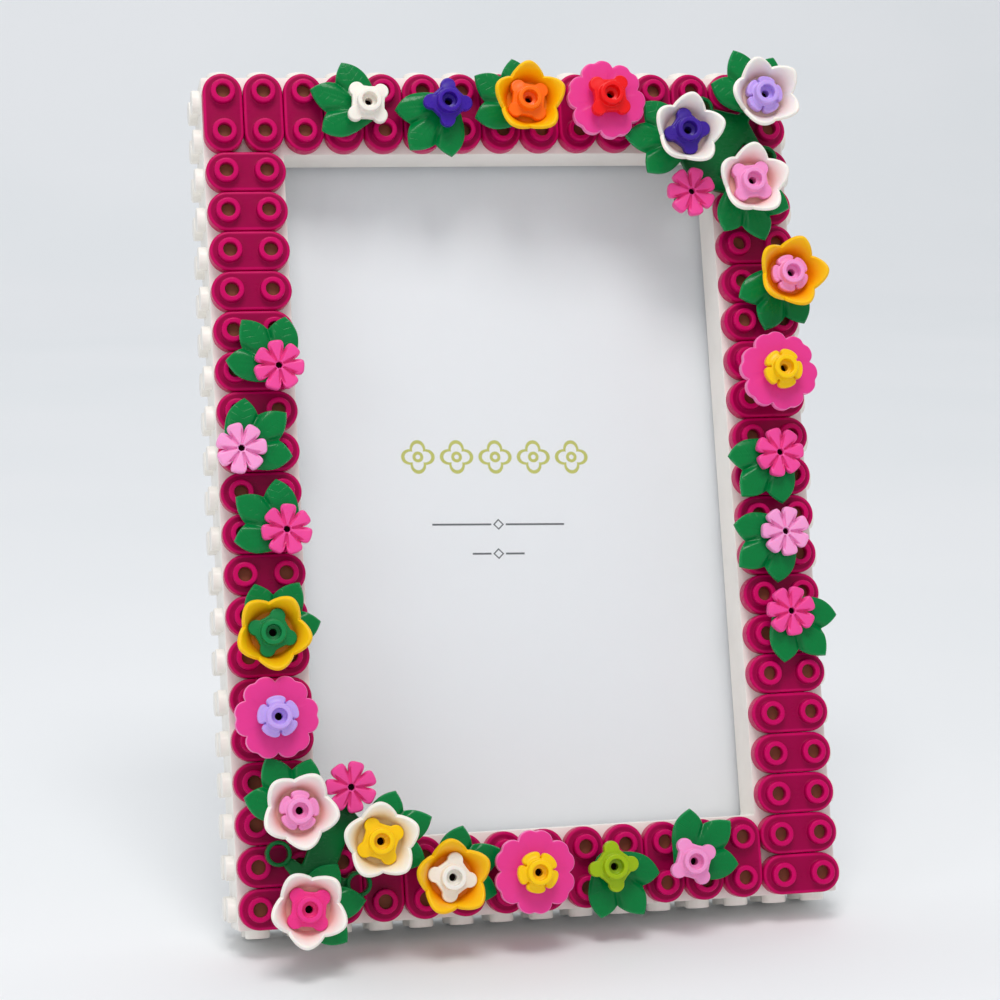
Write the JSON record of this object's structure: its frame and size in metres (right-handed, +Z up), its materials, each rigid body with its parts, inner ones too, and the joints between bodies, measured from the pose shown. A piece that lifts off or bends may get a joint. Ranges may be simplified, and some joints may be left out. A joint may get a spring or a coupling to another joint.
{
  "type": "photo frame",
  "caption": "Free-standing photo frame with a stud-and-plate border, plug-in leaves and flowers that turn, and a fold-out easel leg.",
  "frame": {"origin": "centre of the bounding box, at the base, on the surface the frame stands on", "axes": "+Z up; -Y is the way the picture faces; +X to the right seen from the front; the frame leans back by 16.6 degrees"},
  "size_m": [0.1252, 0.0988, 0.1725],
  "materials": {
    "frame_white": "smooth moulded, satin sheen",
    "plate_magenta": "smooth moulded gloss",
    "leaf_green": "smooth moulded gloss",
    "branch_green": "smooth moulded gloss",
    "window_clear": "clear polished sheet",
    "card": "matte printed card",
    "panel_board": "fine matt grain",
    "pin_steel": "drawn wire",
    "button_grey": "fine matt grain",
    "petal_white": "smooth moulded gloss",
    "petal_yellow": "smooth moulded gloss",
    "petal_pink": "smooth moulded gloss",
    "petal_rose": "smooth moulded gloss",
    "petal_blush": "smooth moulded gloss",
    "petal_purple": "smooth moulded gloss",
    "petal_lime": "smooth moulded gloss"
  },
  "bodies": {
    "frame": {"frame_body": "frame_white", "plates_top": "plate_magenta", "plates_bottom": "plate_magenta", "plates_left": "plate_magenta", "plates_right": "plate_magenta", "clear_window": "window_clear", "photo_insert": "card", "back_panel": "panel_board", "hinge_pin": "pin_steel", "leaves_top_1": "leaf_green", "leaves_top_2": "leaf_green", "leaves_top_3": "leaf_green", "leaves_right_1": "leaf_green", "leaves_right_3": "leaf_green", "leaves_right_4": "leaf_green", "leaves_right_5": "leaf_green", "leaves_left_1": "leaf_green", "leaves_left_2": "leaf_green", "leaves_left_3": "leaf_green", "leaves_left_4": "leaf_green", "leaves_bottom_1": "leaf_green", "leaves_bottom_3": "leaf_green", "leaves_bottom_4": "leaf_green", "branch_upper": "branch_green", "leaves_upper_1": "leaf_green", "leaves_upper_2": "leaf_green", "leaves_upper_3": "leaf_green", "branch_lower": "branch_green", "leaves_lower_1": "leaf_green", "leaves_lower_2": "leaf_green", "leaves_lower_3": "leaf_green"},
    "easel": {"easel_leg": "panel_board"},
    "button_left": {"turn_button_left": "button_grey"},
    "button_right": {"turn_button_right": "button_grey"},
    "flower_top_1": {"bloom_top_1": "petal_white"},
    "flower_top_2": {"bloom_top_2": "petal_purple"},
    "flower_top_3": {"bloom_top_3": "petal_yellow"},
    "flower_top_4": {"bloom_top_4": "petal_pink"},
    "flower_right_1": {"bloom_right_1": "petal_yellow"},
    "flower_right_2": {"bloom_right_2": "petal_pink"},
    "flower_right_3": {"bloom_right_3": "petal_rose"},
    "flower_right_4": {"bloom_right_4": "petal_blush"},
    "flower_right_5": {"bloom_right_5": "petal_rose"},
    "flower_left_1": {"bloom_left_1": "petal_rose"},
    "flower_left_2": {"bloom_left_2": "petal_blush"},
    "flower_left_3": {"bloom_left_3": "petal_rose"},
    "flower_left_4": {"bloom_left_4": "petal_yellow"},
    "flower_left_5": {"bloom_left_5": "petal_pink"},
    "flower_bottom_1": {"bloom_bottom_1": "petal_yellow"},
    "flower_bottom_2": {"bloom_bottom_2": "petal_pink"},
    "flower_bottom_3": {"bloom_bottom_3": "petal_lime"},
    "flower_bottom_4": {"bloom_bottom_4": "petal_blush"},
    "flower_upper_1": {"bloom_upper_1": "petal_white"},
    "flower_upper_2": {"bloom_upper_2": "petal_white"},
    "flower_upper_3": {"bloom_upper_3": "petal_white"},
    "flower_upper_4": {"bloom_upper_4": "petal_rose"},
    "flower_lower_1": {"bloom_lower_1": "petal_white"},
    "flower_lower_2": {"bloom_lower_2": "petal_white"},
    "flower_lower_3": {"bloom_lower_3": "petal_white"},
    "flower_lower_4": {"bloom_lower_4": "petal_rose"}
  },
  "joints": [
    {"name": "easel_fold", "type": "hinge", "parent": "frame", "child": "easel", "pos_m": [-0.00088, 0.02081, 0.1134], "axis": [1, 0, 0], "range_deg": [-30, 0]},
    {"name": "button_left_turn", "type": "hinge", "parent": "frame", "child": "button_left", "pos_m": [-0.05673, 0.00822, 0.08167], "axis": [0, 0.9583, -0.2857], "range_deg": [-90, 90]},
    {"name": "button_right_turn", "type": "hinge", "parent": "frame", "child": "button_right", "pos_m": [0.05497, 0.00822, 0.08167], "axis": [0, 0.9583, -0.2857], "range_deg": [-90, 90]},
    {"name": "flower_top_1_spin", "type": "hinge", "parent": "frame", "child": "flower_top_1", "pos_m": [-0.02888, 0.00789, 0.16107], "axis": [0, -0.9583, 0.2857], "continuous": true},
    {"name": "flower_top_2_spin", "type": "hinge", "parent": "frame", "child": "flower_top_2", "pos_m": [-0.01288, 0.00789, 0.16107], "axis": [0, -0.9583, 0.2857], "continuous": true},
    {"name": "flower_top_3_spin", "type": "hinge", "parent": "frame", "child": "flower_top_3", "pos_m": [0.00312, 0.00789, 0.16107], "axis": [0, -0.9583, 0.2857], "continuous": true},
    {"name": "flower_top_4_spin", "type": "hinge", "parent": "frame", "child": "flower_top_4", "pos_m": [0.01912, 0.00789, 0.16107], "axis": [0, -0.9583, 0.2857], "continuous": true},
    {"name": "flower_right_1_spin", "type": "hinge", "parent": "frame", "child": "flower_right_1", "pos_m": [0.05512, -0.00239, 0.12657], "axis": [0, -0.9583, 0.2857], "continuous": true},
    {"name": "flower_right_2_spin", "type": "hinge", "parent": "frame", "child": "flower_right_2", "pos_m": [0.05112, -0.00811, 0.10741], "axis": [0, -0.9583, 0.2857], "continuous": true},
    {"name": "flower_right_3_spin", "type": "hinge", "parent": "frame", "child": "flower_right_3", "pos_m": [0.05112, -0.01268, 0.09208], "axis": [0, -0.9583, 0.2857], "continuous": true},
    {"name": "flower_right_4_spin", "type": "hinge", "parent": "frame", "child": "flower_right_4", "pos_m": [0.05112, -0.01725, 0.07674], "axis": [0, -0.9583, 0.2857], "continuous": true},
    {"name": "flower_right_5_spin", "type": "hinge", "parent": "frame", "child": "flower_right_5", "pos_m": [0.05112, -0.02182, 0.06141], "axis": [0, -0.9583, 0.2857], "continuous": true},
    {"name": "flower_left_1_spin", "type": "hinge", "parent": "frame", "child": "flower_left_1", "pos_m": [-0.04888, -0.00696, 0.11124], "axis": [0, -0.9583, 0.2857], "continuous": true},
    {"name": "flower_left_2_spin", "type": "hinge", "parent": "frame", "child": "flower_left_2", "pos_m": [-0.05688, -0.01153, 0.09591], "axis": [0, -0.9583, 0.2857], "continuous": true},
    {"name": "flower_left_3_spin", "type": "hinge", "parent": "frame", "child": "flower_left_3", "pos_m": [-0.04888, -0.01611, 0.08057], "axis": [0, -0.9583, 0.2857], "continuous": true},
    {"name": "flower_left_4_spin", "type": "hinge", "parent": "frame", "child": "flower_left_4", "pos_m": [-0.05288, -0.02182, 0.06141], "axis": [0, -0.9583, 0.2857], "continuous": true},
    {"name": "flower_left_5_spin", "type": "hinge", "parent": "frame", "child": "flower_left_5", "pos_m": [-0.05288, -0.02639, 0.04608], "axis": [0, -0.9583, 0.2857], "continuous": true},
    {"name": "flower_bottom_1_spin", "type": "hinge", "parent": "frame", "child": "flower_bottom_1", "pos_m": [-0.02088, -0.03553, 0.01541], "axis": [0, -0.9583, 0.2857], "continuous": true},
    {"name": "flower_bottom_2_spin", "type": "hinge", "parent": "frame", "child": "flower_bottom_2", "pos_m": [-0.00488, -0.03553, 0.01541], "axis": [0, -0.9583, 0.2857], "continuous": true},
    {"name": "flower_bottom_3_spin", "type": "hinge", "parent": "frame", "child": "flower_bottom_3", "pos_m": [0.01112, -0.03553, 0.01541], "axis": [0, -0.9583, 0.2857], "continuous": true},
    {"name": "flower_bottom_4_spin", "type": "hinge", "parent": "frame", "child": "flower_bottom_4", "pos_m": [0.02712, -0.03553, 0.01541], "axis": [0, -0.9583, 0.2857], "continuous": true},
    {"name": "flower_upper_1_spin", "type": "hinge", "parent": "frame", "child": "flower_upper_1", "pos_m": [0.03453, 0.00242, 0.15495], "axis": [0, -0.9583, 0.2857], "continuous": true},
    {"name": "flower_upper_2_spin", "type": "hinge", "parent": "frame", "child": "flower_upper_2", "pos_m": [0.05125, 0.00457, 0.16217], "axis": [0, -0.9583, 0.2857], "continuous": true},
    {"name": "flower_upper_3_spin", "type": "hinge", "parent": "frame", "child": "flower_upper_3", "pos_m": [0.04724, -0.00055, 0.14502], "axis": [0, -0.9583, 0.2857], "continuous": true},
    {"name": "flower_upper_4_spin", "type": "hinge", "parent": "frame", "child": "flower_upper_4", "pos_m": [0.03595, -0.00079, 0.14419], "axis": [0, -0.9583, 0.2857], "continuous": true},
    {"name": "flower_lower_1_spin", "type": "hinge", "parent": "frame", "child": "flower_lower_1", "pos_m": [-0.04986, -0.03481, 0.03009], "axis": [0, -0.9583, 0.2857], "continuous": true},
    {"name": "flower_lower_2_spin", "type": "hinge", "parent": "frame", "child": "flower_lower_2", "pos_m": [-0.03484, -0.03669, 0.02377], "axis": [0, -0.9583, 0.2857], "continuous": true},
    {"name": "flower_lower_3_spin", "type": "hinge", "parent": "frame", "child": "flower_lower_3", "pos_m": [-0.04894, -0.04004, 0.01254], "axis": [0, -0.9583, 0.2857], "continuous": true},
    {"name": "flower_lower_4_spin", "type": "hinge", "parent": "frame", "child": "flower_lower_4", "pos_m": [-0.03921, -0.03371, 0.03377], "axis": [0, -0.9583, 0.2857], "continuous": true}
  ]
}
